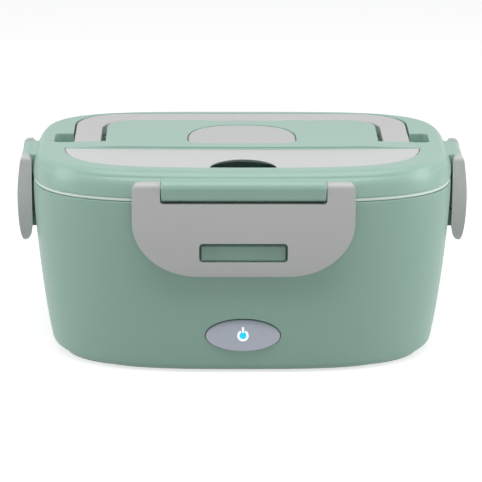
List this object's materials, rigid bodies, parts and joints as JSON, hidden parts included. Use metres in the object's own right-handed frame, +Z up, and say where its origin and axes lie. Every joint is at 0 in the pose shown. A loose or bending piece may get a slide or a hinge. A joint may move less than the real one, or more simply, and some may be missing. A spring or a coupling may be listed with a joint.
{
  "type": "electric lunch box",
  "caption": "Tapered mint electric lunch box with a steel container, heating plate, side tray, snap latches on all sides, folding handle, vent cap and cutlery bin in the lid.",
  "frame": {"origin": "middle of the footprint, on the surface that the box stands on", "axes": "+X to the right along the long side, +Y from the front to the back, +Z up; the button is at -Y"},
  "size_m": [0.239, 0.1724, 0.1107],
  "materials": {
    "mint_shell": "satin mint plastic",
    "mint_lid": "satin mint plastic",
    "silicone": "pale silicone",
    "grey_latch": "satin grey plastic",
    "light_grey": "satin light grey plastic",
    "grey_soft": "soft grey silicone",
    "button_grey": "satin lilac grey plastic",
    "icon_light": "pale light window",
    "liner_white": "plain off-white plastic",
    "steel": "brushed stainless steel",
    "screw_steel": "zinc-plated steel",
    "aluminium": "cast aluminium",
    "ceramic": "insulated heater block",
    "red_silicone": "heatproof silicone",
    "black_plastic": "black plastic",
    "black_rubber": "black rubber",
    "board_green": "circuit board laminate",
    "terminal_green": "green terminal plastic",
    "led_blue": "clear blue lamp",
    "wire_red": "insulated wire",
    "contact_brass": "plated contact"
  },
  "bodies": {
    "base": {"outer_shell": "mint_shell", "bottom_cover": "mint_shell", "foot_pads": "black_rubber", "base_screws": "screw_steel", "inner_liner": "liner_white", "heating_plate": "aluminium", "plate_gasket": "red_silicone", "plate_screws": "screw_steel", "ptc_heater": "ceramic", "heater_clamp": "aluminium", "clamp_screws": "screw_steel", "thermostat": "black_plastic", "thermal_fuse": "ceramic", "control_board": "board_green", "board_screws": "screw_steel", "tact_switch": "black_plastic", "status_led": "led_blue", "terminal_block": "terminal_green", "ac_inlet": "black_plastic", "ac_pins": "contact_brass", "dc_jack": "black_plastic", "dc_pin": "contact_brass", "wiring": "wire_red"},
    "button": {"power_button": "button_grey", "power_icon": "icon_light"},
    "inlet_flap": {"inlet_cover": "grey_soft"},
    "container": {"food_container": "steel"},
    "tray": {"side_tray": "liner_white"},
    "lid": {"lid_cover": "mint_lid", "lid_liner": "liner_white", "lid_seal": "silicone", "latch_pins": "screw_steel", "handle_pins": "screw_steel"},
    "handle": {"carry_handle": "light_grey"},
    "cap": {"vent_cap": "grey_soft"},
    "spoon_body": {"spoon": "steel"},
    "fork_body": {"fork": "steel"},
    "cover": {"cutlery_cover": "light_grey"},
    "latch_front": {"front_latch": "grey_latch"},
    "latch_back": {"back_latch": "grey_latch"},
    "latch_left": {"left_latch": "grey_latch"},
    "latch_right": {"right_latch": "grey_latch"}
  },
  "joints": [
    {"name": "container_lift", "type": "slide", "parent": "base", "child": "container", "axis": [0, 0, 1], "range_m": [0, 0.075]},
    {"name": "tray_lift", "type": "slide", "parent": "container", "child": "tray", "axis": [0, 0, 1], "range_m": [0, 0.065]},
    {"name": "lid_lift", "type": "slide", "parent": "tray", "child": "lid", "axis": [0, 0, 1], "range_m": [0, 0.06]},
    {"name": "spoon_lift", "type": "slide", "parent": "lid", "child": "spoon_body", "axis": [0, 0, 1], "range_m": [0, 0.03]},
    {"name": "fork_lift", "type": "slide", "parent": "spoon_body", "child": "fork_body", "axis": [0, 0, 1], "range_m": [0, 0.025]},
    {"name": "cover_lift", "type": "slide", "parent": "fork_body", "child": "cover", "axis": [0, 0, 1], "range_m": [0, 0.03]},
    {"name": "front_latch_hinge", "type": "hinge", "parent": "lid", "child": "latch_front", "pos_m": [0, -0.0817, 0.1029], "axis": [-1, 0, 0], "range_deg": [-1.8, 130]},
    {"name": "back_latch_hinge", "type": "hinge", "parent": "lid", "child": "latch_back", "pos_m": [0, 0.0817, 0.1029], "axis": [1, 0, 0], "range_deg": [-1.8, 130]},
    {"name": "left_latch_hinge", "type": "hinge", "parent": "lid", "child": "latch_left", "pos_m": [-0.1152, 0, 0.1029], "axis": [0, 1, 0], "range_deg": [-1.8, 130]},
    {"name": "right_latch_hinge", "type": "hinge", "parent": "lid", "child": "latch_right", "pos_m": [0.1152, 0, 0.1029], "axis": [0, -1, 0], "range_deg": [-1.8, 130]},
    {"name": "handle_hinge", "type": "hinge", "parent": "lid", "child": "handle", "pos_m": [0, 0.0022, 0.1061], "axis": [1, 0, 0], "range_deg": [0, 110]},
    {"name": "cap_hinge", "type": "hinge", "parent": "lid", "child": "cap", "pos_m": [0, -0.011, 0.1107], "axis": [1, 0, 0], "range_deg": [0, 70]},
    {"name": "button_press", "type": "slide", "parent": "base", "child": "button", "axis": [0, 1, 0], "range_m": [0, 0.0008], "stiffness_N_per_m": 1500, "springref_m": -0.0006},
    {"name": "inlet_flap_hinge", "type": "hinge", "parent": "base", "child": "inlet_flap", "pos_m": [0, 0.07083, 0.0139], "axis": [-1, 0, 0], "range_deg": [0, 100]}
  ]
}
